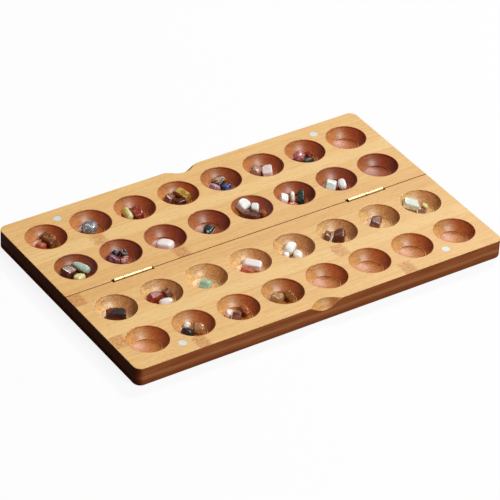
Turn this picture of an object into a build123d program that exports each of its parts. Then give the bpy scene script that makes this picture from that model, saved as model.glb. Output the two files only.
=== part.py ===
from build123d import *
from itertools import pairwise
from math import atan2, degrees, hypot, sqrt
import os

os.makedirs("parts", exist_ok=True)

# A folding mancala board of glued bamboo with its tumbled stones, lying open.
# X runs along the fold, Y across it and Z up from the table. The origin is the
# middle of the underside. Sizes are in millimetres.

# Board
BOARD_LENGTH = 408
BOARD_WIDTH = 254
BOARD_THICKNESS = 20
FOLD_GAP = 0.6  # between the two halves' joint faces
CORNER_RADIUS = 8  # seen from above, at the four outer corners
TOP_EDGE_RADIUS = 0.5
UNDER_EDGE_RADIUS = 2

# Pits, in four rows of eight
PITS_PER_ROW = 8
PIT_PITCH = 49
INNER_ROW = 36.2  # from the fold to the middle of the row beside it
OUTER_ROW = 91.5
PIT_RADIUS = 20
RIM_ROUNDING = 0.4
PIT_LAND = 1.8  # upright wall just under the rim
BOWL_RADIUS = 22  # curvature of the hollow wall below that
DISH_LEDGE = 0.6  # the floor's dish starts this far inside the wall's foot
DISH_LAND = 0.6
DISH_DEPTH = 2.6

# The photo shows each upper panel as one piece. Here it is ten touching blocks that
# stand in for that piece, because the collision shapes of smaller solids follow the
# pits more closely. The blocks meet on the lands between pits and leave no seam.
BLOCK_JOINTS = (-2 * PIT_PITCH, -PIT_PITCH, PIT_PITCH, 2 * PIT_PITCH)
ROW_JOINT = (INNER_ROW + OUTER_ROW) / 2

# Thumb scoops, one in the middle of each long outer edge
SCOOP_HALF_LENGTH = 22
SCOOP_REACH = 8.5  # in from the edge, on the top face
SCOOP_AXIS_OUT = 5.2  # the axis that the scoop is turned about, out from the edge
SCOOP_AXIS_UP = 6.4
SCOOP_CURVE_SHARE = 0.5  # share of the half length that the hollow middle takes

# Magnets, flush in the top face near the four outer corners
MAGNET_RADIUS = 4
MAGNET_HEIGHT = 3
MAGNET_SINK = 0.1
MAGNET_X = 147
MAGNET_Y = 112

# Hinges: brass butts let into the joint faces, with the barrel in a slot on top
HINGE_X = 131.6
HINGE_AXIS_LIFT = 0.2  # the pin's axis lies this far above the top face
BARREL_RADIUS = 1.5
BARREL_LENGTH = 40.5
PIN_RADIUS = 0.7
RUNNING_CLEARANCE = 0.05
LEAF_THICKNESS = 0.9
LEAF_HEIGHT = 13  # from the pin's axis down
LEAF_CORNER = 1
LEAF_CLEARANCE = 0.2  # between a leaf and the other leaf's knuckles
KNUCKLES = 4
WIDE_JOINT = 0.7  # side play leaves every second joint between knuckles open
CLOSE_JOINT = 0.1
SLOT_HALF_WIDTH = 2.5
SLOT_LENGTH = 45
SLOT_DEPTH = 2.8

# Screws, three in each leaf
SCREW_PITCH = 14
SCREW_DROP = 7.2  # from the pin's axis
SCREW_LENGTH = 9
SHANK_RADIUS = 1.1
HEAD_RADIUS = 2.1
HEAD_DEPTH = 0.85
POINT_LENGTH = 2.4
DRIVE_WIDTH = 0.6
DRIVE_DEPTH = 0.35

# Stones, tumbled chips of semi-precious rock
STONE_LEAN = 2.2  # degrees that a stone leans for each millimetre off the pit's middle
STONE_GAP = 0.1  # left under every stone
STONE_ROUNDING = 0.3  # edge radius as a share of the stone's least size

# The stones as they lie in the photograph, pit by pit: right and back of the pit's
# middle, length, width, height, degrees that the length is turned from the fold's
# direction and, for a stone that lies on others, how far it is lifted
STONES = {
    ("back", "outer", 1): [(-6.5, -1.5, 10, 9, 8, 20), (5, 2.5, 17, 9, 9, 98)],
    ("back", "outer", 2): [(-0.5, 1.5, 18, 15, 8.5, 50)],
    ("back", "outer", 3): [(-6, 3, 15, 6, 7, 80), (3.5, 0.5, 16, 9.5, 8, 75)],
    ("back", "outer", 4): [(-6.5, 5, 12, 8, 7, 30), (8, 4, 16, 7.5, 7, 103), (-1, -5.5, 10, 9, 7, 0)],
    ("back", "outer", 5): [(-7.5, -0.5, 12, 6, 7, 115), (1.5, 6, 13, 11, 7, 20), (3, -5.5, 9, 8, 6, 20)],
    ("back", "outer", 6): [(-5.5, 4, 14, 9, 8, 55), (4.5, -1, 14, 10, 6.5, 60)],
    ("back", "outer", 7): [
        (-3, 5, 13, 10.5, 7.5, 35),
        (7.5, 3.5, 7, 5, 5, 90),
        (-0.5, -7, 12, 7, 7, 170),
    ],
    ("back", "inner", 1): [
        (8, 3.5, 19, 8, 8, 112),
        (-5.5, 4.5, 13, 11, 8.5, 20),
        (-0.5, -6.5, 13, 9, 6, 30),
    ],
    ("back", "inner", 2): [
        (-8, 1, 14, 7.5, 8, 115),
        (-0.5, 8.5, 8, 6, 7, 20),
        (7.5, 6, 7, 5, 6, 75),
        (2, -4.5, 10, 8, 6, 60),
    ],
    ("back", "inner", 3): [(-0.5, -1, 17, 12, 7, 130)],
    ("back", "inner", 4): [(-0.5, -0.5, 14, 10, 6, 35)],
    ("back", "inner", 5): [
        (-2.5, 11.5, 12, 11, 8, 20, 0.5),
        (7.5, 6, 10, 8, 7, 50, 1),
        (-3.5, -3, 17, 9, 7, 130),
        (9.5, -5.5, 9, 6, 6, 80),
    ],
    ("back", "inner", 6): [
        (-9, 5, 12, 8, 7, 60),
        (1, 5, 15, 5, 7, 60),
        (7.5, -1, 16, 6, 7, 57),
        (-6.5, -7, 11, 6, 6, 160),
    ],
    ("back", "inner", 7): [(-4, 3, 18, 10, 8, 50), (6, -2, 14, 8, 7, 65)],
    ("front", "inner", 1): [(-0.5, -1, 19, 11, 8, 150)],
    ("front", "inner", 2): [(-5, 3.5, 16, 8, 8, 8), (9, 4, 11, 6, 7, 100), (1, -6, 13, 8, 6, 165)],
    ("front", "inner", 3): [(-0.5, -0.5, 15, 10, 7, 40)],
    ("front", "inner", 4): [(3.5, 2, 19, 9, 7.5, 130), (-6, -4, 12, 6.5, 6, 118)],
    ("front", "inner", 5): [(1, 7, 14, 10, 7.5, 30), (-9, -0.5, 9, 6, 6, 60), (1.5, -5.5, 13, 9, 7, 45)],
    ("front", "inner", 6): [(-7.5, 4.5, 13, 7, 8, 50), (3.5, 0, 14, 11, 8.5, 50)],
    ("front", "inner", 7): [(-2, 1.5, 15.5, 10, 8, 42)],
    ("front", "inner", 8): [(-5.5, 7.5, 16, 10, 7, 150), (-1, -5.5, 10, 8, 6, 50), (8, 3, 7, 4, 4, 100)],
    ("front", "outer", 2): [(-7, -1.5, 12, 8, 8, 110), (-1.5, 8.5, 8, 6, 6, 30), (5.5, -1, 11, 11, 7.5, 60)],
    ("front", "outer", 3): [(-7.5, 5, 10, 6, 6, 45), (-3, -2.5, 12, 8, 8, 45), (7.5, 0, 14, 7, 7.5, 85)],
    ("front", "outer", 4): [(-5.5, 1, 13, 10.5, 8, 30), (7, -0.5, 13, 8, 7, 85)],
}

# Worked out from the sizes above
PANEL_THICKNESS = BOARD_THICKNESS / 2
GLUE_LINE = PANEL_THICKNESS
HALF_WIDTH = BOARD_WIDTH / 2
HALF_LENGTH = BOARD_LENGTH / 2
AXIS_Z = BOARD_THICKNESS + HINGE_AXIS_LIFT
BOWL_CENTRE = BOARD_THICKNESS - PIT_LAND + sqrt(BOWL_RADIUS**2 - PIT_RADIUS**2)
RING_RADIUS = sqrt(BOWL_RADIUS**2 - (BOWL_CENTRE - GLUE_LINE) ** 2)
DISH_RADIUS = RING_RADIUS - DISH_LEDGE
DISH_RISE = DISH_DEPTH - DISH_LAND
DISH_CURVE = (DISH_RADIUS**2 + DISH_RISE**2) / (2 * DISH_RISE)
FLOOR_Z = GLUE_LINE - DISH_DEPTH
DISH_CENTRE = FLOOR_Z + DISH_CURVE

# Directions across the board
SIDES = {"back": 1, "front": -1}
ROWS = {"inner": INNER_ROW, "outer": OUTER_ROW}


def column_x(column):
    """Middle of a pit along the board, with columns counted 1 to 8 from the left."""
    return (column - (PITS_PER_ROW + 1) / 2) * PIT_PITCH


def pit_spots(side):
    """Middles of the sixteen pits in one half."""
    return [
        (column_x(column), side * row)
        for row in ROWS.values()
        for column in range(1, PITS_PER_ROW + 1)
    ]


def finish(piece, name):
    """Label a finished piece and write it."""
    piece.label = name
    export_step(piece, f"parts/{name}.step")
    print(name, len(piece.solids()), "solids", round(piece.volume, 1), "mm3")


# Cutter for the part of a pit in the upper panel: rim, upright land and bowl wall
with BuildPart() as bowl_cutter:
    with BuildSketch(Plane.XZ) as bowl_profile:
        with BuildLine():
            mouth = (PIT_RADIUS + RIM_ROUNDING, BOARD_THICKNESS)
            land_top = (PIT_RADIUS, BOARD_THICKNESS - RIM_ROUNDING)
            land_foot = (PIT_RADIUS, BOARD_THICKNESS - PIT_LAND)
            wall_foot = (RING_RADIUS, GLUE_LINE)
            Polyline(wall_foot, (0, GLUE_LINE), (0, BOARD_THICKNESS), mouth)
            RadiusArc(mouth, land_top, -RIM_ROUNDING)
            Line(land_top, land_foot)
            RadiusArc(land_foot, wall_foot, BOWL_RADIUS)
        make_face()
    revolve(axis=Axis.Z)

# Cutter for the shallow dish in the lower panel, under each bowl
with BuildPart() as dish_cutter:
    with BuildSketch(Plane.XZ) as dish_profile:
        with BuildLine():
            dish_edge = (DISH_RADIUS, GLUE_LINE - DISH_LAND)
            Polyline((0, FLOOR_Z), (0, GLUE_LINE), (DISH_RADIUS, GLUE_LINE), dish_edge)
            RadiusArc(dish_edge, (0, FLOOR_Z), DISH_CURVE)
        make_face()
    revolve(axis=Axis.Z)

# Cutter for the back thumb scoop, turned about an axis just outside the edge.
# Its outline is hollow in the middle and swings out again to nothing at both ends.
SCOOP_NEAR = hypot(SCOOP_AXIS_OUT, SCOOP_AXIS_UP)
SCOOP_FAR = hypot(SCOOP_AXIS_OUT + SCOOP_REACH, SCOOP_AXIS_UP)
SCOOP_BULGE = SCOOP_FAR - SCOOP_NEAR
with BuildPart() as scoop_cutter:
    with BuildSketch(Plane.XY) as scoop_profile:
        with BuildLine():
            turn_x = SCOOP_HALF_LENGTH * SCOOP_CURVE_SHARE
            turn_y = SCOOP_NEAR + SCOOP_BULGE * (1 - SCOOP_CURVE_SHARE)
            left_end = (-SCOOP_HALF_LENGTH, SCOOP_NEAR)
            right_end = (SCOOP_HALF_LENGTH, SCOOP_NEAR)
            left_shoulder = TangentArc(left_end, (-turn_x, turn_y), tangent=(1, 0))
            hollow = TangentArc(left_shoulder @ 1, (0, SCOOP_FAR), tangent=left_shoulder % 1)
            right_shoulder = TangentArc(right_end, (turn_x, turn_y), tangent=(-1, 0))
            TangentArc(right_shoulder @ 1, (0, SCOOP_FAR), tangent=right_shoulder % 1)
            Polyline(left_end, (-SCOOP_HALF_LENGTH, 0), (SCOOP_HALF_LENGTH, 0), right_end)
        make_face()
    revolve(axis=Axis.X)
scoop_spot = Location((0, HALF_WIDTH + SCOOP_AXIS_OUT, BOARD_THICKNESS + SCOOP_AXIS_UP))
back_scoop = scoop_cutter.part.moved(scoop_spot)
front_scoop = back_scoop.mirror(Plane.XZ)
SCOOPS = {SIDES["back"]: back_scoop, SIDES["front"]: front_scoop}


def half_outline(side):
    """Plan of one half, with its two outer corners rounded, for the open sketch."""
    with Locations((0, side * (HALF_WIDTH + FOLD_GAP / 2) / 2)):
        plan = Rectangle(BOARD_LENGTH, HALF_WIDTH - FOLD_GAP / 2)
    outer_corners = [corner for corner in plan.vertices() if side * corner.Y > HALF_WIDTH / 2]
    fillet(outer_corners, CORNER_RADIUS)


# One countersunk wood screw, standing along Z with its head at the origin
with BuildPart() as screw:
    with BuildSketch(Plane.XZ):
        Polygon(
            (0, 0),
            (HEAD_RADIUS, 0),
            (SHANK_RADIUS, -HEAD_DEPTH),
            (SHANK_RADIUS, POINT_LENGTH - SCREW_LENGTH),
            (0, -SCREW_LENGTH),
            align=None,
        )
    revolve(axis=Axis.Z)
screw_body = screw.part
with BuildPart() as slotted_screw:
    add(screw_body)
    with BuildSketch(Plane.XY):
        Rectangle(2 * HEAD_RADIUS, DRIVE_WIDTH)
    extrude(amount=-DRIVE_DEPTH, mode=Mode.SUBTRACT)


def screw_spots(side, middle_x):
    """Where the three screws of a leaf stand, heads towards the fold."""
    face = Plane(
        origin=(middle_x, side * FOLD_GAP / 2, AXIS_Z - SCREW_DROP),
        x_dir=(1, 0, 0),
        z_dir=(0, -side, 0),
    )
    return [face.location * Location((step * SCREW_PITCH, 0, 0)) for step in (-1, 0, 1)]


def leaf_room(side, middle_x):
    """Wood cut away for one leaf, its screws and half of the barrel's slot."""
    slot_width = SLOT_HALF_WIDTH - FOLD_GAP / 2
    with BuildPart() as room:
        with Locations((middle_x, side * (FOLD_GAP / 2 + slot_width / 2), BOARD_THICKNESS)):
            Box(SLOT_LENGTH, slot_width, SLOT_DEPTH, align=(Align.CENTER, Align.CENTER, Align.MAX))
        leaf_foot = (middle_x, side * (FOLD_GAP + LEAF_THICKNESS) / 2, AXIS_Z - LEAF_HEIGHT)
        with Locations(leaf_foot):
            Box(
                BARREL_LENGTH,
                LEAF_THICKNESS,
                LEAF_HEIGHT - SLOT_DEPTH,
                align=(Align.CENTER, Align.CENTER, Align.MIN),
            )
        for spot in screw_spots(side, middle_x):
            add(screw_body.moved(spot))
    return room.part


def in_blocks(panel, side):
    """The panel cut into touching blocks of the same total volume, for collision."""
    blocks = []
    for start, end in pairwise((-HALF_LENGTH, *BLOCK_JOINTS, HALF_LENGTH)):
        for near, far in pairwise((0, ROW_JOINT, HALF_WIDTH)):
            middle = Location(((start + end) / 2, side * (near + far) / 2, BOARD_THICKNESS / 2))
            room = Box(end - start, far - near, BOARD_THICKNESS).moved(middle)
            blocks.extend((panel & room).solids())
    return Compound(blocks)


def upper_panel(side):
    """Top bamboo panel of one half: pits through it, magnets, scoop and hinge room."""
    rooms = [leaf_room(side, middle_x) for middle_x in (-HINGE_X, HINGE_X)]
    with BuildPart() as panel:
        with BuildSketch(Plane.XY.offset(GLUE_LINE)):
            half_outline(side)
        extrude(amount=PANEL_THICKNESS)
        fillet(panel.faces().sort_by(Axis.Z)[-1].edges(), TOP_EDGE_RADIUS)
        with Locations(*pit_spots(side)):
            add(bowl_cutter.part, mode=Mode.SUBTRACT)
        with BuildSketch(Plane.XY.offset(BOARD_THICKNESS)):
            with Locations((-MAGNET_X, side * MAGNET_Y), (MAGNET_X, side * MAGNET_Y)):
                Circle(MAGNET_RADIUS)
        extrude(amount=-MAGNET_HEIGHT - MAGNET_SINK, mode=Mode.SUBTRACT)
        add(SCOOPS[side], mode=Mode.SUBTRACT)
        add(rooms, mode=Mode.SUBTRACT)
    return in_blocks(panel.part, side)


def lower_panel(side):
    """Bottom bamboo panel of one half, with the dished floors of the pits."""
    rooms = [leaf_room(side, middle_x) for middle_x in (-HINGE_X, HINGE_X)]
    with BuildPart() as panel:
        with BuildSketch(Plane.XY):
            half_outline(side)
        extrude(amount=PANEL_THICKNESS)
        fillet(panel.faces().sort_by(Axis.Z)[0].edges(), UNDER_EDGE_RADIUS)
        with Locations(*pit_spots(side)):
            add(dish_cutter.part, mode=Mode.SUBTRACT)
        add(rooms, mode=Mode.SUBTRACT)
    return panel.part


for side_name, side in SIDES.items():
    finish(upper_panel(side), f"{side_name}_upper_panel")
    finish(lower_panel(side), f"{side_name}_lower_panel")

# Magnets that hold the folded board shut
for side_name, side in SIDES.items():
    for end_name, end in {"left": -1, "right": 1}.items():
        with BuildPart() as magnet:
            with Locations((end * MAGNET_X, side * MAGNET_Y, BOARD_THICKNESS - MAGNET_SINK)):
                Cylinder(
                    MAGNET_RADIUS,
                    MAGNET_HEIGHT,
                    align=(Align.CENTER, Align.CENTER, Align.MAX),
                )
        finish(magnet.part, f"{side_name}_{end_name}_magnet")

# Each hinge: its middle, the joints between knuckles that stand wide and the
# knuckles of the front leaf, both counted from the left
HINGES = {
    "left": (-HINGE_X, (1, 3), (1, 3)),
    "right": (HINGE_X, (2,), (2, 4)),
}


def knuckle_starts(middle_x, wide_joints):
    """Left ends of a hinge's knuckles, and the length they all share."""
    joints = [
        WIDE_JOINT if joint in wide_joints else CLOSE_JOINT for joint in range(1, KNUCKLES)
    ]
    length = (BARREL_LENGTH - sum(joints)) / KNUCKLES
    starts = [middle_x - BARREL_LENGTH / 2]
    for joint in joints:
        starts.append(starts[-1] + length + joint)
    return starts, length


def hinge_leaf(side, middle_x, starts, length, bore_radius):
    """One brass leaf: a flat plate with knuckles rolled round the pin on its top edge."""
    with BuildPart() as leaf:
        with BuildSketch(Plane.XZ.offset(-side * FOLD_GAP / 2)):
            with Locations((middle_x, AXIS_Z - LEAF_HEIGHT / 2)):
                plate = Rectangle(BARREL_LENGTH, LEAF_HEIGHT)
            fillet(plate.vertices().group_by(Axis.Z)[0], LEAF_CORNER)
        extrude(amount=-side * LEAF_THICKNESS)
        with BuildSketch(Plane.YZ.offset(middle_x)):
            with Locations((0, AXIS_Z)):
                Circle(BARREL_RADIUS + LEAF_CLEARANCE)
        extrude(amount=BARREL_LENGTH / 2, both=True, mode=Mode.SUBTRACT)
        for start in starts:
            with BuildSketch(Plane.YZ.offset(start)):
                with Locations((0, AXIS_Z)):
                    Circle(BARREL_RADIUS)
                root_y = side * (FOLD_GAP + LEAF_THICKNESS) / 2
                with Locations((root_y, AXIS_Z)):
                    Rectangle(
                        LEAF_THICKNESS,
                        BARREL_RADIUS + 2 * LEAF_CLEARANCE,
                        align=(Align.CENTER, Align.MAX),
                    )
                with Locations((0, AXIS_Z)):
                    Circle(bore_radius, mode=Mode.SUBTRACT)
            extrude(amount=length)
        for spot in screw_spots(side, middle_x):
            add(screw_body.moved(spot), mode=Mode.SUBTRACT)
    return leaf.part


for hinge_name, (middle_x, wide_joints, front_knuckles) in HINGES.items():
    starts, length = knuckle_starts(middle_x, wide_joints)
    front_starts = [starts[number - 1] for number in front_knuckles]
    back_starts = [start for start in starts if start not in front_starts]
    # The pin is held by the back leaf, and the front leaf turns on it
    back_leaf = hinge_leaf(SIDES["back"], middle_x, back_starts, length, PIN_RADIUS)
    finish(back_leaf, f"{hinge_name}_hinge_back_leaf")
    loose_bore = PIN_RADIUS + RUNNING_CLEARANCE
    front_leaf = hinge_leaf(SIDES["front"], middle_x, front_starts, length, loose_bore)
    finish(front_leaf, f"{hinge_name}_hinge_front_leaf")
    with BuildPart() as pin:
        with BuildSketch(Plane.YZ.offset(middle_x)):
            with Locations((0, AXIS_Z)):
                Circle(PIN_RADIUS)
        extrude(amount=BARREL_LENGTH / 2, both=True)
    finish(pin.part, f"{hinge_name}_hinge_pin")
    for side_name, side in SIDES.items():
        with BuildPart() as screws:
            for spot in screw_spots(side, middle_x):
                add(slotted_screw.part.moved(spot))
        finish(screws.part, f"{hinge_name}_hinge_{side_name}_screws")


def ball_height(off_middle, radius):
    """Height of a ball's middle when it touches the pit this far off the pit's middle."""
    on_dish = DISH_CENTRE - sqrt((DISH_CURVE - radius) ** 2 - off_middle**2)
    on_wall = BOWL_CENTRE - sqrt((BOWL_RADIUS - radius) ** 2 - off_middle**2)
    past_ledge = max(DISH_RADIUS - off_middle, 0)
    if past_ledge >= radius:
        return max(on_dish, on_wall)
    on_ledge = GLUE_LINE + sqrt(radius**2 - past_ledge**2)
    return max(on_dish, on_wall, on_ledge)


def tumbled_stone(off_x, off_y, length, width, height, turn, lift=0):
    """One smooth stone, leaning in from the wall of its pit and resting on it."""
    rounding = STONE_ROUNDING * min(length, width, height)
    heading = degrees(atan2(off_y, off_x))
    lean = STONE_LEAN * hypot(off_x, off_y)
    tilt = Rotation(0, 0, heading) * Rotation(0, -lean, 0) * Rotation(0, 0, turn - heading)
    rest = 0
    for end_x in (-1, 1):
        for end_y in (-1, 1):
            for end_z in (-1, 1):
                corner = tilt * Location(
                    (
                        end_x * (length / 2 - rounding),
                        end_y * (width / 2 - rounding),
                        end_z * (height / 2 - rounding),
                    )
                )
                spot = corner.position
                off_middle = hypot(off_x + spot.X, off_y + spot.Y)
                rest = max(rest, ball_height(off_middle, rounding) - spot.Z)
    with BuildPart() as stone:
        Box(length, width, height)
        fillet(stone.edges(), rounding)
    return stone.part.moved(Location((off_x, off_y, rest + STONE_GAP + lift)) * tilt)


for (side_name, row_name, column), stones_here in STONES.items():
    pit = Location((column_x(column), SIDES[side_name] * ROWS[row_name], 0))
    with BuildPart() as stones:
        for shape in stones_here:
            add(tumbled_stone(*shape).moved(pit))
    finish(stones.part, f"stones_{side_name}_{row_name}_{column}")
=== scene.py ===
# %% [markdown]
# A folding mancala board of glued bamboo lies open with its tumbled stones in the
# pits. The CAD frame already holds every solid part at its real size, so this script
# gives each part its surface, rebuilds the stones as irregular polished chips, and
# sets up the light and the camera of a plain studio picture.

import math

import bmesh
import bpy
import numpy as np
from mathutils import Matrix, Vector


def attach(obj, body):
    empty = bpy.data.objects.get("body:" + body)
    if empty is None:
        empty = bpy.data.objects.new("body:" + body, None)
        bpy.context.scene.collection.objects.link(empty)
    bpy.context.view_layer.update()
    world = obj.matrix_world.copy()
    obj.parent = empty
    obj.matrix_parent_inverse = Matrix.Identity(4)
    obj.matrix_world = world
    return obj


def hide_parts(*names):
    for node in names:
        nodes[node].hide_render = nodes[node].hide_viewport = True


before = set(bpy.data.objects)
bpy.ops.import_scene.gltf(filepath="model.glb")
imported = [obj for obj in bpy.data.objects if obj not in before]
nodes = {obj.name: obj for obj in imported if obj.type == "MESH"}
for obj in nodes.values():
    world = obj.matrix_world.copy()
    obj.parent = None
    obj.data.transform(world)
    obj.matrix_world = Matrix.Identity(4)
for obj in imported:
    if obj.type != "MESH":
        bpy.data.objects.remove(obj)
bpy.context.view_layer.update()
MM = 0.001

# %% [markdown]
# The surfaces follow the shape of the board: a pit is stained and the top around it is
# not. The few sizes below say where those borders lie, and they are the sizes that the
# board was built with. They stay in millimetres, because grain and stain are easier to
# judge in millimetres than in metres.

# %% Sizes of the board
PIT_PITCH = 49
PITS_PER_ROW = 8
INNER_ROW = 36.2
OUTER_ROW = 91.5
PIT_RADIUS = 20
RING_RADIUS = 13.5
HALF_LENGTH = 204
HALF_WIDTH = 127
CORNER_RADIUS = 8
BOARD_THICKNESS = 20
GLUE_LINE = 10
print("pits every", PIT_PITCH, "mm,", INNER_ROW, "and", OUTER_ROW, "mm from the fold")

# %% [markdown]
# A camera far away with a long lens flattens the board as product pictures do. Its
# place and direction were worked out from the board's edges, pits and hinges, so they
# are written as angles and a distance. Nothing else about the camera is special.

# %% Camera
CAMERA_TURN = -34.7995  # degrees round the board from straight in front
CAMERA_HEIGHT = 35.654  # degrees above the table
CAMERA_ROLL = 3.0251
CAMERA_DISTANCE = 62.3263  # in pit pitches
CAMERA_SHIFT = (-0.0267, -0.3184)  # sideways and up, in pit pitches
PIXEL_FOCUS = 3221.22  # focal length in pixels of a 500 pixel frame
FRAME_PIXELS = 500
SENSOR_WIDTH = 36

turn, height, roll = (
    math.radians(angle) for angle in (CAMERA_TURN, CAMERA_HEIGHT, CAMERA_ROLL)
)
back = Vector((
    math.sin(turn) * math.cos(height),
    -math.cos(turn) * math.cos(height),
    math.sin(height),
))
level_right = (-back).cross(Vector((0, 0, 1))).normalized()
level_up = level_right.cross(-back)
right = math.cos(roll) * level_right + math.sin(roll) * level_up
up = math.cos(roll) * level_up - math.sin(roll) * level_right
eye = back * CAMERA_DISTANCE + right * CAMERA_SHIFT[0] + up * CAMERA_SHIFT[1]
eye = eye * PIT_PITCH * MM + Vector((0, 0, BOARD_THICKNESS * MM))

camera_data = bpy.data.cameras.new("studio_camera")
camera_data.sensor_width = SENSOR_WIDTH
camera_data.lens = PIXEL_FOCUS / FRAME_PIXELS * SENSOR_WIDTH
camera_data.clip_end = 20
camera = bpy.data.objects.new("studio_camera", camera_data)
facing = Matrix((right, up, back)).transposed().to_4x4()
camera.matrix_world = Matrix.Translation(eye) @ facing
bpy.context.scene.collection.objects.link(camera)
bpy.context.scene.camera = camera
print("camera", round(eye.length, 2), "m away, lens", round(camera_data.lens), "mm")

# %% [markdown]
# Patterns in this script are sums on shader sockets. Adding the nodes one by one takes
# many lines, so two small classes help: Wire lets a socket be added, multiplied and
# compared as if it was a number, and Finish makes the nodes of one material.

# %% Shader helpers
class Wire:
    """One output socket, with Python's sums on it."""

    def __init__(self, finish, socket):
        self.finish = finish
        self.socket = socket

    def sum(self, operation, *values):
        settings = {"operation": operation}
        return self.finish.node("ShaderNodeMath", settings, dict(enumerate(values)))

    def __add__(self, other):
        return self.sum("ADD", self, other)

    __radd__ = __add__

    def __sub__(self, other):
        return self.sum("SUBTRACT", self, other)

    def __rsub__(self, other):
        return self.sum("SUBTRACT", other, self)

    def __mul__(self, other):
        return self.sum("MULTIPLY", self, other)

    __rmul__ = __mul__

    def __truediv__(self, other):
        return self.sum("DIVIDE", self, other)

    def __pow__(self, other):
        return self.sum("POWER", self, other)

    def __gt__(self, other):
        return self.sum("GREATER_THAN", self, other)

    def __lt__(self, other):
        return self.sum("LESS_THAN", self, other)

    def least(self, other):
        return self.sum("MINIMUM", self, other)

    def most(self, other):
        return self.sum("MAXIMUM", self, other)

    def size(self):
        return self.sum("ABSOLUTE", self)

    def whole(self):
        return self.sum("FLOOR", self)

    def fade(self, low, high):
        """0 below low, 1 above high and a soft step between; low may be the larger."""
        share = (self - low) / (high - low)
        clamped = share.most(0).least(1)
        return clamped * clamped * (3 - 2 * clamped)


class Finish:
    """A material being made, on Blender's Principled surface."""

    def __init__(self, name):
        self.material = bpy.data.materials.new(name)
        self.material.use_nodes = True
        self.tree = self.material.node_tree
        self.surface = self.tree.nodes["Principled BSDF"]

    def node(self, kind, settings=None, sockets=None, output=0):
        """Adds a node, makes its settings, fills its sockets and returns one output."""
        made = self.tree.nodes.new(kind)
        for name, value in (settings or {}).items():
            setattr(made, name, value)
        for name, value in (sockets or {}).items():
            self.fill(made.inputs[name], value)
        return Wire(self, made.outputs[output])

    def fill(self, socket, value):
        if isinstance(value, Wire):
            self.tree.links.new(value.socket, socket)
        else:
            socket.default_value = value

    def set(self, **values):
        """Sets or links sockets of the surface; Base_Color stands for Base Color."""
        for name, value in values.items():
            self.fill(self.surface.inputs[name.replace("_", " ")], value)

    def place(self):
        """Object coordinates in millimetres, and their three parts."""
        metres = self.node("ShaderNodeTexCoord", output="Object")
        place = self.scaled(metres, (1 / MM, 1 / MM, 1 / MM))
        return place, *self.parts(place)

    def facing(self):
        """The three parts of the surface's own direction, in the piece's axes."""
        return self.parts(self.node("ShaderNodeTexCoord", output="Normal"))

    def parts(self, vector):
        return [
            self.node("ShaderNodeSeparateXYZ", sockets={0: vector}, output=part)
            for part in "XYZ"
        ]

    def joined(self, *parts):
        return self.node("ShaderNodeCombineXYZ", sockets=dict(enumerate(parts)))

    def scaled(self, vector, factors):
        settings = {"operation": "MULTIPLY"}
        return self.node("ShaderNodeVectorMath", settings, {0: vector, 1: factors})

    def noise(self, vector, size=1, detail=2, roughness=0.5, distortion=0):
        sockets = {
            "Vector": vector,
            "Scale": 1 / size,
            "Detail": detail,
            "Roughness": roughness,
            "Distortion": distortion,
        }
        return self.node("ShaderNodeTexNoise", sockets=sockets)

    def dots(self, vector, size=1):
        """Distance to the nearest of many scattered points."""
        settings = {"feature": "F1"}
        sockets = {"Vector": vector, "Scale": 1 / size}
        return self.node("ShaderNodeTexVoronoi", settings, sockets)

    def chance(self, *parts):
        """One number between 0 and 1 for each whole-number place."""
        settings = {"noise_dimensions": "3D"}
        parts = parts + (0,) * (3 - len(parts))
        sockets = {"Vector": self.joined(*parts)}
        return self.node("ShaderNodeTexWhiteNoise", settings, sockets)

    def mix(self, share, first, second):
        """A colour between two colours."""
        sockets = {"Factor": share, 6: first, 7: second}
        return self.node("ShaderNodeMix", {"data_type": "RGBA"}, sockets, output=2)

    def darken(self, colour, share, tint=(0, 0, 0, 1)):
        """The colour multiplied by the tint, as far as share says."""
        settings = {"data_type": "RGBA", "blend_type": "MULTIPLY"}
        sockets = {"Factor": share, 6: colour, 7: tint}
        return self.node("ShaderNodeMix", settings, sockets, output=2)

    def bump(self, height, depth):
        """A normal from a height, with depth in millimetres."""
        sockets = {"Height": height, "Distance": depth * MM, "Strength": 1}
        return self.node("ShaderNodeBump", sockets=sockets)


def shade(red, green, blue):
    """A colour written as it looks on a screen, 0 to 255, turned into light."""
    def light(value):
        value = value / 255
        return value / 12.92 if value <= 0.04045 else ((value + 0.055) / 1.055) ** 2.4
    return (light(red), light(green), light(blue), 1)


print("a mid grey of 188 is", round(shade(188, 188, 188)[0], 2), "of full light")
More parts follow.
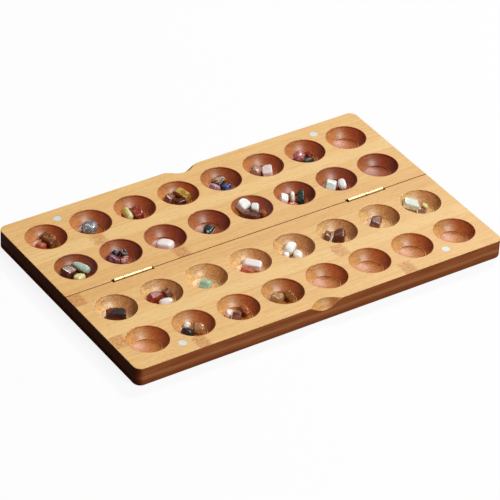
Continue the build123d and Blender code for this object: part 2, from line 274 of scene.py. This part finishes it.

# %% [markdown]
# The board is made of bamboo: flat strips of it glued side by side, all running along
# the fold. Bamboo has no rings. It shows thin bundles of fibres that look like dashes
# from the side and like dots from the end, so one pattern in space, stretched along
# the strips, gives the dashes on top and the dots on the steep walls of the pits.
# Every strip has its own tone, and here and there a growth node crosses a strip as a
# browner patch with crowded strokes.
#
# The top and the inner front row keep the natural colour, the other pits are stained,
# each row and each pit a little differently, and the outside of the board is stained a
# dark brown that stops at the rounded top edge. End grain drinks more stain, and the two
# short sides are darkened further with painted shade, so they are darkest. All of it
# lies under one satin lacquer.
#
# In the photograph the right wall of every pit is darker than the lamps alone make it.
# So walls that face left are darkened in the colour: painted shade on the right wall of
# every pit. Why isn't known, so this is a guess: the stain is made denser on walls that
# face left.

# %% Bamboo
STRIP_WIDTH = 18.3
GROWTH_LENGTH = 9
RAGGED = 5  # how far the ends of a growth patch wander
ROW_BORDER = (INNER_ROW + OUTER_ROW) / 2
PIT_STAIN_BOTTOM = 3  # no pit reaches this low
FLOOR_TOP = (10.4, 10.1)
UNDERSIDE_EDGE = (2.3, 1.7)
UPRIGHT = (0.45, 0.15)  # the upward part of a face's direction, from sloping to upright
FOLD_RECESS = (4.6, 4.2)  # the hinges' slots beside the fold
FOLD_GAP = (0.8, 0.4)
FOLD_GAP_BOTTOM = 17
SCOOP_STAIN_END = 23  # along the board from its middle
SCOOP_STAIN_START = 117.5  # out from the fold
PALE_STRIP_START = (54, 58)  # the paler wood between the rows of pits
PALE_STRIP_END = (74, 72)
GROWTH_NODES = [  # middle of each patch along the board and across it
    (-130, 69), (-73, 10), (-197, -9), (-196, -84), (-131, -117), (58, -64), (98, -115),
]
PIT_STAINS = {  # back or front, outer or inner, as in the sums below
    "front_inner": shade(250, 208, 138),
    "front_outer": shade(232, 176, 102),
    "back_inner": shade(192, 115, 54),
    "back_outer": shade(216, 145, 78),
}


def growth(x, y, ragged):
    """How far a point lies inside one of the growth nodes, 0 to 1."""
    found = 0
    for middle_x, middle_y in GROWTH_NODES:
        strip_middle = (math.floor(middle_y / STRIP_WIDTH) + 0.5) * STRIP_WIDTH
        along = (x - middle_x + ragged * RAGGED).size()
        across = (y - strip_middle).size()
        inside = along.fade(GROWTH_LENGTH, GROWTH_LENGTH * 0.5)
        found = inside * across.fade(STRIP_WIDTH * 0.51, STRIP_WIDTH * 0.47) + found
    return found


def bamboo(name):
    finish = Finish(name)
    place, x, y, z = finish.place()
    facing_x, _, facing_z = finish.facing()

    # strips, fibres and mottling
    wander = finish.noise(finish.scaled(place, (0.01, 0.04, 0.04)), detail=1)
    across = (y + wander * 0.8) / STRIP_WIDTH
    strip = across.whole()
    tone = finish.chance(strip, (z / GLUE_LINE - 0.01).whole())
    seam = (across - strip - 0.5).size().fade(0.488, 0.5)
    shift = finish.joined(tone * 400, 0, 0)
    add = {"operation": "ADD"}
    shifted = finish.node("ShaderNodeVectorMath", add, {0: place, 1: shift})
    broad = finish.noise(finish.scaled(shifted, (0.014, 0.3, 0.3)), detail=3)
    stretched = finish.scaled(shifted, (0.035, 1.3, 1.3))
    streak = finish.noise(stretched, detail=4, roughness=0.6)
    fibre = finish.dots(finish.scaled(shifted, (0.16, 0.9, 0.9))).fade(0.42, 0.14)
    pore = finish.dots(finish.scaled(shifted, (0.45, 1.1, 1.1))).fade(0.55, 0.25)
    mottle = finish.noise(place, size=1.9, detail=3, roughness=0.6, distortion=1.4)
    grown = growth(x, y, mottle - 0.5)
    grit = finish.noise(finish.scaled(place, (0.6, 1, 1)), size=0.9, detail=2)

    # where the point lies: in a pit, on a pit's floor, on the outside
    column = (x / PIT_PITCH).whole()
    pit_x = (x / PIT_PITCH - column - 0.5) * PIT_PITCH
    away = y.size()
    outer = away > ROW_BORDER
    pit_y = away - INNER_ROW - outer * (OUTER_ROW - INNER_ROW)
    off_middle = (pit_x * pit_x + pit_y * pit_y) ** 0.5
    in_pit = off_middle.fade(PIT_RADIUS + 0.9, PIT_RADIUS + 0.4) * (z > PIT_STAIN_BOTTOM)
    in_pit = in_pit * (x.size() < PIT_PITCH * PITS_PER_ROW / 2)
    on_floor = off_middle.fade(RING_RADIUS - 0.2, RING_RADIUS - 0.5) * z.fade(*FLOOR_TOP)
    back_half = y > 0
    row = back_half * 2 + outer
    pit_tone = finish.chance(column, row, 5)
    floor_tone = finish.chance(column, row, 9)
    corner_x = (x.size() - (HALF_LENGTH - CORNER_RADIUS)).most(0)
    corner_y = (away - (HALF_WIDTH - CORNER_RADIUS)).most(0)
    to_side = (corner_x * corner_x + corner_y * corner_y) ** 0.5 - CORNER_RADIUS
    upright = facing_z.fade(*UPRIGHT)
    side = to_side.fade(-0.7, -0.35) * upright
    fold_face = away.fade(1.0, 0.6) * upright
    outside = (side + z.fade(*UNDERSIDE_EDGE) + fold_face).least(1)
    # The hinges' slots and the gap along the fold are darkened further down: painted shade
    # in these recesses.
    painted_recess_shade = away.fade(*FOLD_RECESS) * z.fade(BOARD_THICKNESS - 0.1, BOARD_THICKNESS - 0.5)
    fold = painted_recess_shade + away.fade(*FOLD_GAP) * (z > FOLD_GAP_BOTTOM)
    fold = fold.least(1) * (1 - side) * (1 - fold_face * 0.6)
    scoop = (x.size() < SCOOP_STAIN_END) * (away > SCOOP_STAIN_START)
    scoop = scoop * z.fade(19.95, 19.7) * facing_z.fade(0.1, 0.3)

    # natural bamboo
    cloud = broad.fade(0.3, 0.7)
    natural = finish.mix(cloud, shade(230, 182, 112), shade(239, 196, 128))
    natural = finish.mix(tone * 0.35, natural, shade(226, 174, 106))
    natural = finish.darken(natural, away.fade(20, 16) * 0.5, shade(244, 234, 222))
    between_rows = away.fade(*PALE_STRIP_START) * away.fade(*PALE_STRIP_END)
    natural = finish.mix(between_rows * 0.6, natural, shade(241, 203, 138))
    natural = finish.darken(natural, streak.fade(0.5, 0.75) * 0.45, shade(205, 160, 112))
    natural = finish.darken(natural, fibre * 0.22, shade(168, 118, 70))
    natural = finish.darken(natural, seam * 0.35, shade(160, 110, 64))
    natural = finish.darken(natural, grown * 0.55, shade(232, 204, 176))
    strokes = grown * mottle.fade(0.5, 0.6) * 0.8
    natural = finish.darken(natural, strokes, shade(196, 150, 108))

    # stained pits, with pores that take more of the stain
    fronts = finish.mix(outer, PIT_STAINS["front_inner"], PIT_STAINS["front_outer"])
    backs = finish.mix(outer, PIT_STAINS["back_inner"], PIT_STAINS["back_outer"])
    stain = finish.mix(back_half, fronts, backs)
    stain = finish.darken(stain, pit_tone * 0.3, shade(205, 185, 170))
    stain = finish.darken(stain, broad.fade(0.6, 0.35) * 0.5, shade(215, 190, 170))
    stain = finish.mix(on_floor * floor_tone * 0.3, stain, shade(214, 158, 108))
    natural_row = (1 - back_half) * (1 - outer)
    stain = finish.darken(stain, on_floor * (1 - natural_row), shade(228, 198, 166))
    stain = finish.darken(stain, pore * (0.4 + natural_row * 0.1), shade(158, 88, 56))
    stain = finish.darken(stain, streak.fade(0.5, 0.75) * 0.4, shade(200, 160, 130))
    stain = finish.darken(stain, grit.fade(0.5, 0.7) * 0.4, shade(204, 152, 116))
    # Walls that face left are darkened: painted shade on the right wall of every pit,
    # weaker in the natural row.
    painted_right_wall_shade = facing_x.fade(0, -0.75)
    stain = finish.darken(stain, painted_right_wall_shade * (1 - natural_row * 0.4), shade(228, 158, 108))

    # stained outside
    edge = finish.mix(cloud, shade(170, 92, 48), shade(190, 110, 60))
    edge = finish.darken(edge, streak.fade(0.45, 0.7) * 0.6, shade(185, 145, 118))
    glue_band = (z - 9.3).size().fade(2.2, 1.2)
    edge = finish.mix(glue_band * 0.45, edge, shade(214, 148, 98))
    # The sides get darker towards the bottom: painted shade near the floor.
    edge = finish.darken(edge, z.fade(7, 3) * 0.6, shade(205, 180, 165))
    # The short sides are darker: partly end grain stain, partly painted shade.
    end_grain_and_shade = facing_x.size().fade(0.15, 0.75)
    edge = finish.darken(edge, end_grain_and_shade, shade(190, 146, 116))

    grain = streak * 0.25 - fibre * 0.6 + broad * 0.2
    colour = finish.mix(in_pit, natural, stain)
    colour = finish.mix(scoop * 0.85, colour, stain)
    colour = finish.mix(outside, colour, edge)
    # Painted shade in the hinges' slots and in the gap along the fold.
    colour = finish.darken(colour, fold * 0.85, shade(130, 84, 54))
    finish.set(
        Base_Color=colour,
        Roughness=0.38 + streak * 0.1 - fibre * 0.05,
        Specular_IOR_Level=0.3,
        Normal=finish.bump(grain + in_pit * (grit * 1.2 - pore * 0.6), 0.07),
        Coat_Weight=0.08 + in_pit * (0.82 - on_floor * 0.55),
        Coat_Roughness=0.4,
    )
    return finish.material


board_finish = bamboo("lacquered_bamboo")
for node in nodes:
    if node.endswith("panel"):
        nodes[node].data.materials[0] = board_finish
print("bamboo on", [node for node in nodes if node.endswith("panel")])

# %% [markdown]
# The hinges are small brass butts with a polished barrel, and the magnets are plated
# discs. Metal gets its look from what it mirrors, so these finishes only need a metal
# colour, fine scratches and a thin tarnish in patches. The photograph shows dark joints
# along the barrel, so the ends of the knuckles are darkened and the pins between them
# look like oiled steel. The real pins can't be seen. The magnets look paler than bare
# metal would, so only a small share of their finish is metallic.

# %% Brass and plating
def metal(name, colour, tarnish, roughness, scratch_depth, shine=1):
    finish = Finish(name)
    place = finish.place()[0]
    cloud = finish.noise(place, size=3, detail=3)
    scratch = finish.noise(finish.scaled(place, (0.3, 3, 3)), detail=2)
    facing_x = finish.facing()[0]
    tone = finish.mix(cloud.fade(0.5, 0.8) * 0.5, colour, tarnish)
    tone = finish.darken(tone, facing_x.size().fade(0.6, 0.9) * 0.9, shade(120, 90, 60))
    finish.set(
        Base_Color=tone,
        Metallic=shine,
        Roughness=roughness + cloud * 0.08,
        Normal=finish.bump(scratch, scratch_depth),
    )
    return finish.material


SCRATCHED = 0.0015  # depth of the scratches in millimetres
SMOOTH = 0.0005
brass_tones = (shade(242, 220, 168), shade(206, 166, 98))
screw_tones = (shade(228, 196, 130), shade(170, 128, 70))
steel_tones = (shade(70, 54, 40), shade(44, 32, 22))
plating_tones = (shade(206, 211, 206), shade(176, 182, 180))
brass = metal("polished_brass", *brass_tones, 0.46, SCRATCHED)
dark_steel = metal("oiled_steel", *steel_tones, 0.5, SCRATCHED)
screw_brass = metal("screw_brass", *screw_tones, 0.28, SCRATCHED)
plating = metal("magnet_plating", *plating_tones, 0.55, SMOOTH, shine=0.3)
for node, piece in nodes.items():
    if "leaf" in node:
        piece.data.materials[0] = brass
    elif "pin" in node:
        piece.data.materials[0] = dark_steel
    elif "screws" in node:
        piece.data.materials[0] = screw_brass
    elif "magnet" in node:
        piece.data.materials[0] = plating
print("metal on the hinges, screws and magnets")

# %% [markdown]
# A tumbled stone starts as a broken chip, and the tumbler wears its edges round. So a
# stone here is a ball whose surface is drawn in to the nearest of a few flat facets,
# with a power sum that rounds the edges between them. The six sides of its CAD block
# are always among the facets, which keeps the stone inside the space that the block
# holds, and a few more facets give it its own shape.
#
# The CAD block's three directions are read from its mesh: its flat sides are its
# largest areas, so the normals with the most area behind them are the directions.

# %% Reading the CAD blocks
def blocks(node):
    """Middle, three directions and half sizes of each block in a node, left to right."""
    measured = []
    work = bmesh.new()
    work.from_mesh(nodes[node].data)
    bmesh.ops.remove_doubles(work, verts=work.verts, dist=1e-6)
    work.verts.ensure_lookup_table()
    unseen = set(work.verts)
    while unseen:
        heap = [unseen.pop()]
        island = set(heap)
        while heap:
            for edge in heap.pop().link_edges:
                for vert in edge.verts:
                    if vert not in island:
                        island.add(vert)
                        heap.append(vert)
        unseen -= island
        measured.append(measure(island))
    work.free()
    return sorted(measured, key=lambda block: block[0].x)


def measure(island):
    faces = {face for vert in island for face in vert.link_faces}
    areas = {}
    for face in faces:
        normal = face.normal
        first = next((part for part in normal if abs(part) > 0.05), 1)
        key = tuple(round(part * (1 if first > 0 else -1), 2) for part in normal)
        areas[key] = areas.get(key, 0) + face.calc_area()
    largest = sorted(areas, key=areas.get, reverse=True)
    directions = [Vector(largest[0]).normalized()]
    for key in largest[1:]:
        direction = Vector(key).normalized()
        square = all(abs(direction.dot(other)) < 0.2 for other in directions)
        if square and len(directions) < 3:
            directions.append(direction)
    upward = max(directions, key=lambda direction: abs(direction.z))
    upward = upward * (1 if upward.z > 0 else -1)
    flat = [direction for direction in directions if abs(direction.dot(upward)) < 0.2]
    spots = [vert.co for vert in island]

    def reach(direction):
        along = [spot.dot(direction) for spot in spots]
        return min(along), max(along)

    flat.sort(key=lambda direction: reach(direction)[0] - reach(direction)[1])
    long_way = flat[0] * (1 if flat[0].x > 0 else -1)
    axes = (long_way, upward.cross(long_way), upward)
    spans = [reach(axis) for axis in axes]
    halfway = (axis * (low + high) / 2 for axis, (low, high) in zip(axes, spans))
    middle = sum(halfway, Vector())
    return middle, axes, [(high - low) / 2 for low, high in spans]


stone_nodes = [node for node in nodes if node.startswith("stones")]
stone_blocks = {node: blocks(node) for node in stone_nodes}
stone_count = sum(len(found) for found in stone_blocks.values())
print(stone_count, "stones in", len(stone_nodes), "pits")

# %% [markdown]
# Stones differ in rock and in shape. A rock is two or three colours with a pattern:
# clouds, bands or specks. Pale quartz and jade let light in, which the surface's
# subsurface setting gives; opaque jasper does not. All of them are polished, with a
# few dull spots.

# %% Rocks
ROCKS = {
    # name: (main colour, second colour, third colour, pattern, size mm, light let in)
    "terracotta": ((178, 88, 62), (196, 112, 84), (140, 60, 44), "clouds", 4, 0),
    "tiger_eye": ((112, 64, 30), (160, 104, 54), (70, 36, 18), "bands", 1.2, 0),
    "mottled_grey": ((112, 112, 114), (214, 214, 214), (26, 24, 28), "clouds", 3.4, 0),
    "lime": ((214, 214, 120), (240, 238, 214), (160, 158, 70), "clouds", 4, 0.3),
    "oxblood": ((136, 38, 24), (172, 84, 58), (88, 16, 12), "clouds", 4, 0),
    "brown": ((116, 64, 44), (150, 96, 70), (64, 30, 22), "clouds", 3, 0),
    "olive_gold": ((172, 130, 46), (214, 178, 92), (104, 68, 26), "bands", 2, 0.1),
    "maroon": ((74, 10, 14), (112, 26, 24), (40, 4, 8), "clouds", 3, 0),
    "mauve": ((176, 134, 150), (214, 184, 196), (130, 88, 108), "clouds", 3, 0.2),
    "black_gold": ((44, 24, 16), (176, 122, 62), (18, 10, 8), "bands", 2.6, 0),
    "blue": ((44, 62, 118), (110, 130, 176), (22, 28, 62), "clouds", 2.4, 0),
    "red_speckle": ((160, 108, 88), (206, 170, 148), (128, 44, 30), "specks", 1.4, 0),
    "rose_milk": ((232, 214, 206), (244, 234, 230), (212, 184, 176), "clouds", 5, 0.4),
    "rhodonite": ((168, 88, 92), (224, 182, 176), (104, 34, 40), "clouds", 2.6, 0.1),
    "dark_green": ((44, 52, 50), (86, 98, 92), (20, 24, 26), "clouds", 2, 0),
    "brown_black": ((96, 56, 40), (160, 108, 80), (30, 12, 12), "bands", 6, 0),
    "lemon": ((228, 226, 158), (240, 238, 196), (204, 200, 120), "clouds", 4, 0.3),
    "aqua": ((184, 212, 194), (216, 230, 218), (148, 184, 166), "clouds", 4, 0.2),
    "purple": ((118, 60, 78), (186, 142, 158), (64, 22, 38), "clouds", 3.2, 0.1),
    "black": ((26, 20, 22), (70, 60, 62), (10, 8, 10), "clouds", 3, 0),
    "red_stripe": ((142, 44, 40), (222, 172, 160), (96, 22, 24), "bands", 1.6, 0),
    "grey_stripe": ((62, 56, 58), (196, 190, 190), (28, 24, 28), "bands", 1.8, 0),
    "white": ((248, 243, 239), (252, 250, 248), (236, 226, 218), "clouds", 4, 0.4),
    "white_pink": ((248, 236, 232), (252, 248, 246), (232, 212, 208), "clouds", 4, 0.4),
    "black_band": ((16, 18, 20), (196, 208, 200), (60, 96, 92), "bands", 4, 0),
    "milk": ((242, 243, 238), (250, 250, 247), (222, 226, 220), "clouds", 5, 0.5),
    "dark_brown": ((92, 42, 26), (136, 78, 52), (50, 20, 14), "clouds", 4, 0),
    "orange_brown": ((168, 88, 44), (202, 130, 78), (120, 54, 24), "clouds", 3, 0.1),
    "orange_red": ((188, 84, 56), (214, 128, 96), (140, 50, 34), "clouds", 2.4, 0),
    "cream_slab": ((230, 206, 180), (246, 234, 220), (160, 96, 68), "bands", 3.2, 0.2),
    "green_black": ((22, 38, 34), (76, 100, 90), (10, 18, 18), "clouds", 2.6, 0),
    "pale_mint": ((216, 226, 214), (238, 242, 234), (188, 206, 190), "clouds", 5, 0.4),
    "red_black_glass": ((44, 20, 22), (112, 40, 16), (18, 10, 14), "bands", 6, 0),
    "mint": ((158, 192, 162), (202, 220, 198), (112, 152, 124), "clouds", 2.6, 0.3),
    "tan_clear": ((170, 116, 68), (212, 172, 124), (124, 76, 40), "clouds", 4, 0.3),
    "cream": ((226, 216, 196), (242, 236, 224), (190, 176, 152), "clouds", 3, 0.2),
    "ochre": ((160, 116, 62), (206, 176, 124), (112, 66, 36), "clouds", 3, 0.1),
    "golden_brown": ((136, 84, 34), (186, 132, 60), (70, 32, 14), "bands", 2, 0),
    "dusk_pink": ((138, 96, 84), (170, 128, 112), (104, 64, 56), "clouds", 3, 0),
}


def rock(name):
    """The polished surface of one rock."""
    main, second, third, pattern, size, let_in = ROCKS[name]
    finish = Finish("rock_" + name)
    place, x, y, z = finish.place()
    cloud = finish.noise(place, size=size, detail=4, roughness=0.62, distortion=0.6)
    vein = finish.noise(place, size=size * 0.7, detail=5, roughness=0.7)
    speck = finish.dots(place, size=0.7)
    if pattern == "bands":
        slope = finish.joined(x * 0.25, y * 0.35, z)
        swirl = finish.noise(slope, size=size, detail=2, distortion=1.2)
        cloud = swirl
    light = cloud.fade(0.5, 0.64 if pattern == "clouds" else 0.56)
    dark = vein.fade(0.55, 0.68)
    if pattern == "specks":
        dark = speck.fade(0.45, 0.25)
    colour = finish.mix(light, shade(*main), shade(*second))
    colour = finish.mix(dark, colour, shade(*third))
    colour = finish.darken(colour, speck.fade(0.2, 0.1) * 0.4, shade(150, 130, 120))
    pits = finish.noise(place, size=0.9, detail=3)
    finish.set(
        Base_Color=colour,
        Roughness=0.27 + pits.fade(0.5, 0.8) * 0.2,
        Specular_IOR_Level=0.4,
        Normal=finish.bump(pits, 0.05),
        Subsurface_Weight=let_in,
        Subsurface_Radius=(1, 0.9, 0.8),
        Subsurface_Scale=2.5 * MM,
        Coat_Weight=0.1,
        Coat_Roughness=0.12,
    )
    return finish.material


rocks = {name: rock(name) for name in ROCKS}
print(len(rocks), "rocks")

# %% [markdown]
# Each stone now gets its rock and its form, pit by pit from left to right. A form is a
# sharpness of the edges and a list of extra facets, each a direction in the stone's own
# axes (length, width, up) and the share of the block's reach at which it cuts.

# %% Forms and the stones of each pit
FORMS = {
    # name: (sharpness, extra facets)
    "egg": (3, []),
    "pebble": (4.5, [((1, 0.4, 0.8), 0.84), ((-0.8, 0.6, 0.6), 0.84)]),
    "block": (12, [((1, 0.7, 0.5), 0.86), ((-1, -0.5, 0.8), 0.84)]),
    "slab": (11, [((1, 0.2, 0.9), 0.84), ((-0.7, 1, 0.2), 0.86)]),
    "wedge": (13, [((0.9, 0, 0.8), 0.5), ((-0.9, 0.1, 0.9), 0.56)]),
    "ridge": (13, [((0, 0.9, 0.9), 0.68), ((0.1, -0.9, 0.8), 0.68)]),
    "chunk": (12, [((0.8, 0.7, 0.8), 0.74), ((-1, 0.3, 0.7), 0.76), ((0.2, -1, 0.6), 0.8)]),
}
PIT_STONES = {
    "stones_back_outer_1": [("terracotta", "pebble"), ("tiger_eye", "slab")],
    "stones_back_outer_2": [("mottled_grey", "egg")],
    "stones_back_outer_3": [("lime", "ridge"), ("oxblood", "block")],
    "stones_back_outer_4": [
        ("brown", "chunk"),
        ("maroon", "block"),
        ("olive_gold", "slab"),
    ],
    "stones_back_outer_5": [
        ("mauve", "pebble"),
        ("black_gold", "chunk"),
        ("blue", "pebble"),
    ],
    "stones_back_outer_6": [("red_speckle", "pebble"), ("rose_milk", "block")],
    "stones_back_outer_7": [
        ("rhodonite", "egg"),
        ("dark_green", "pebble"),
        ("oxblood", "chunk"),
    ],
    "stones_back_inner_1": [("brown_black", "block"), ("lemon", "pebble"), ("aqua", "egg")],
    "stones_back_inner_2": [
        ("purple", "pebble"),
        ("black", "chunk"),
        ("red_stripe", "block"),
        ("grey_stripe", "chunk"),
    ],
    "stones_back_inner_3": [("white_pink", "pebble")],
    "stones_back_inner_4": [("black_band", "pebble")],
    "stones_back_inner_5": [
        ("dark_brown", "chunk"),
        ("milk", "chunk"),
        ("milk", "pebble"),
        ("orange_brown", "pebble"),
    ],
    "stones_back_inner_6": [
        ("white", "block"),
        ("orange_red", "pebble"),
        ("cream_slab", "egg"),
        ("green_black", "block"),
    ],
    "stones_back_inner_7": [("pale_mint", "wedge"), ("white", "egg")],
    "stones_front_inner_1": [("red_black_glass", "block")],
    "stones_front_inner_2": [("oxblood", "chunk"), ("white", "egg"), ("brown", "wedge")],
    "stones_front_inner_3": [("mint", "wedge")],
    "stones_front_inner_4": [("orange_red", "slab"), ("white_pink", "block")],
    "stones_front_inner_5": [("white", "pebble"), ("milk", "pebble"), ("white", "egg")],
    "stones_front_inner_6": [("brown", "pebble"), ("dark_brown", "chunk")],
    "stones_front_inner_7": [("brown", "chunk")],
    "stones_front_inner_8": [
        ("pale_mint", "slab"),
        ("dusk_pink", "wedge"),
        ("lime", "pebble"),
    ],
    "stones_front_outer_2": [
        ("black", "pebble"),
        ("cream", "pebble"),
        ("tan_clear", "egg"),
    ],
    "stones_front_outer_3": [
        ("rose_milk", "pebble"),
        ("brown", "wedge"),
        ("orange_brown", "egg"),
    ],
    "stones_front_outer_4": [("ochre", "chunk"), ("golden_brown", "pebble")],
}
assert all(len(PIT_STONES[node]) == len(stone_blocks[node]) for node in stone_nodes)
print("stones set for", len(PIT_STONES), "pits")

# %% [markdown]
# The ball is an icosphere, whose faces are all about the same size, so no part of the
# stone is coarser than another. Besides the facets of its form, each stone gets a few
# chance ones, and slow waves about a hundredth of its size deep, both from a random
# source that is seeded once.

# %% Making the stones
BALL_LEVEL = 5
CHANCE_FACETS = 4
FILL = 0.985  # share of the block's half size that the stone reaches
CHANCE_CUTS = (0.8, 0.95)  # shares of the block's reach at which those facets cut
WAVES = 6
WAVE_RATE = 2.2
WAVE_DEPTH = 0.012
random = np.random.default_rng(7)


def stone(name, node, block, rock_name, form_name):
    middle, axes, half_sizes = block
    sharpness, facets = FORMS[form_name]
    work = bmesh.new()
    bmesh.ops.create_icosphere(work, subdivisions=BALL_LEVEL, radius=1)
    mesh = bpy.data.meshes.new(name)
    work.to_mesh(mesh)
    work.free()
    ball = np.empty(len(mesh.vertices) * 3)
    mesh.vertices.foreach_get("co", ball)
    ball = ball.reshape(-1, 3)
    half = np.array(half_sizes)
    directions = ball * half
    directions /= np.linalg.norm(directions, axis=1)[:, None]

    press = (np.abs(directions) / half) ** sharpness
    pressed = press.sum(axis=1)
    extra = [(np.array(facet), share) for facet, share in facets]
    for _ in range(CHANCE_FACETS):
        extra.append((random.normal(size=3), random.uniform(*CHANCE_CUTS)))
    for facet, share in extra:
        facet = facet / np.linalg.norm(facet)
        reach = share * np.abs(facet * half).sum()
        pressed += (np.maximum(directions @ facet, 0) / reach) ** sharpness
    radius = pressed ** (-1 / sharpness)

    waves = np.zeros(len(ball))
    for _ in range(WAVES):
        way = random.normal(size=3) * WAVE_RATE
        waves += np.sin(ball @ way + random.uniform(0, 6.28))
    radius *= 1 - WAVE_DEPTH * waves / WAVES
    shape = directions * radius[:, None]
    low, high = shape.min(axis=0), shape.max(axis=0)
    shape = ((shape - low) / (high - low) * 2 - 1) * half * FILL
    placed = shape @ np.array([list(axis) for axis in axes]) + np.array(middle)
    mesh.vertices.foreach_set("co", placed.ravel())
    mesh.update()
    mesh.polygons.foreach_set("use_smooth", [True] * len(mesh.polygons))
    mesh.materials.append(rocks[rock_name])
    piece = bpy.data.objects.new(name, mesh)
    bpy.context.scene.collection.objects.link(piece)
    body = "back_half" if "_back_" in node else "front_half"
    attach(piece, body)
    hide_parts(node)
    return piece


stones = []
for node in sorted(stone_nodes):
    for number, (block, looks) in enumerate(zip(stone_blocks[node], PIT_STONES[node]), 1):
        name = node.replace("stones", "stone") + f"_{number}"
        stones.append(stone(name, node, block, *looks))
print(len(stones), "stones, each of", len(stones[0].data.polygons), "faces")

# %% [markdown]
# The board lies on a pale sweep. The floor glows white to the camera, as a bright paper
# does, and a share of plain floor in it keeps the shadow of the board. Light that
# bounces meets a dark paper instead, so that the stained sides stay dark. The glow
# stops right below the fold, where it would shine up through the gap.

# %% Floor and world
FLOOR_SIZE = 6
FLOOR_DROP = 0.0002  # below the board, so that the two don't share a plane
SHADOW_SHARE = 0.12
DIM_SKY = 0.04  # what lights the board
SKY_LEVELS = (("Is Glossy Ray", 0.3), ("Is Camera Ray", 1))
work = bmesh.new()
bmesh.ops.create_grid(work, x_segments=1, y_segments=1, size=FLOOR_SIZE / 2)
floor_mesh = bpy.data.meshes.new("studio_floor")
work.to_mesh(floor_mesh)
work.free()
floor = bpy.data.objects.new("studio_floor", floor_mesh)
floor.location.z = -FLOOR_DROP
bpy.context.scene.collection.objects.link(floor)

paper = Finish("studio_paper")
paper.set(Base_Color=(0.1, 0.1, 0.1, 1), Roughness=0.9, Specular_IOR_Level=0.1)
glow = paper.node("ShaderNodeEmission", sockets={"Color": (1, 1, 1, 1), "Strength": 1})
shadowed = paper.node("ShaderNodeBsdfDiffuse", sockets={"Color": (0.9, 0.9, 0.9, 1)})
_, x, y, _ = paper.place()
below_fold = (y.size() < FOLD_GAP[0]) * (x.size() < HALF_LENGTH - 1)
floor_share = SHADOW_SHARE + below_fold * (1 - SHADOW_SHARE)
seen = paper.node("ShaderNodeMixShader", sockets={0: floor_share, 1: glow, 2: shadowed})
to_camera = paper.node("ShaderNodeLightPath", output="Is Camera Ray")
mixed = paper.node(
    "ShaderNodeMixShader",
    sockets={0: to_camera, 1: Wire(paper, paper.surface.outputs[0]), 2: seen},
)
paper.fill(paper.tree.nodes["Material Output"].inputs["Surface"], mixed)
floor_mesh.materials.append(paper.material)

world = bpy.data.worlds.new("studio_world")
world.use_nodes = True
bpy.context.scene.world = world
sky = world.node_tree.nodes["Background"]
sky.inputs["Color"].default_value = (1, 1, 1, 1)
path = world.node_tree.nodes.new("ShaderNodeLightPath")
strength = sky.inputs["Strength"]
for ray, level in SKY_LEVELS:
    mix = world.node_tree.nodes.new("ShaderNodeMix")
    mix.inputs["A"].default_value = DIM_SKY
    mix.inputs["B"].default_value = level
    world.node_tree.links.new(path.outputs[ray], mix.inputs["Factor"])
    if strength.is_linked:
        world.node_tree.links.new(strength.links[0].from_socket, mix.inputs["A"])
    world.node_tree.links.new(mix.outputs["Result"], strength)
print("floor", FLOOR_SIZE, "m wide")

# %% [markdown]
# Two soft lamps light the board. A wide one hangs above and in front, and its mirror
# image is the pale patch on the wall of every pit. A smaller one stands behind on the
# right: it makes the small bright spot in each dish, and lights the left walls more
# than the right ones.

# %% Lamps
LAMP_DISTANCE = 5


def lamp(name, direction, size, watts):
    data = bpy.data.lights.new(name, "AREA")
    data.shape = "DISK"
    data.size = size
    data.energy = watts
    light = bpy.data.objects.new(name, data)
    direction = Vector(direction).normalized()
    light.location = direction * LAMP_DISTANCE
    light.rotation_euler = direction.to_track_quat("Z", "Y").to_euler()
    bpy.context.scene.collection.objects.link(light)


lamp("front_softbox", (0.2, -0.61, 0.77), 2.0, 175)
lamp("right_lamp", (0.57, 0.375, 0.73), 1.1, 145)
bpy.context.scene.view_settings.view_transform = "Standard"
print("two lamps,", LAMP_DISTANCE, "m away")
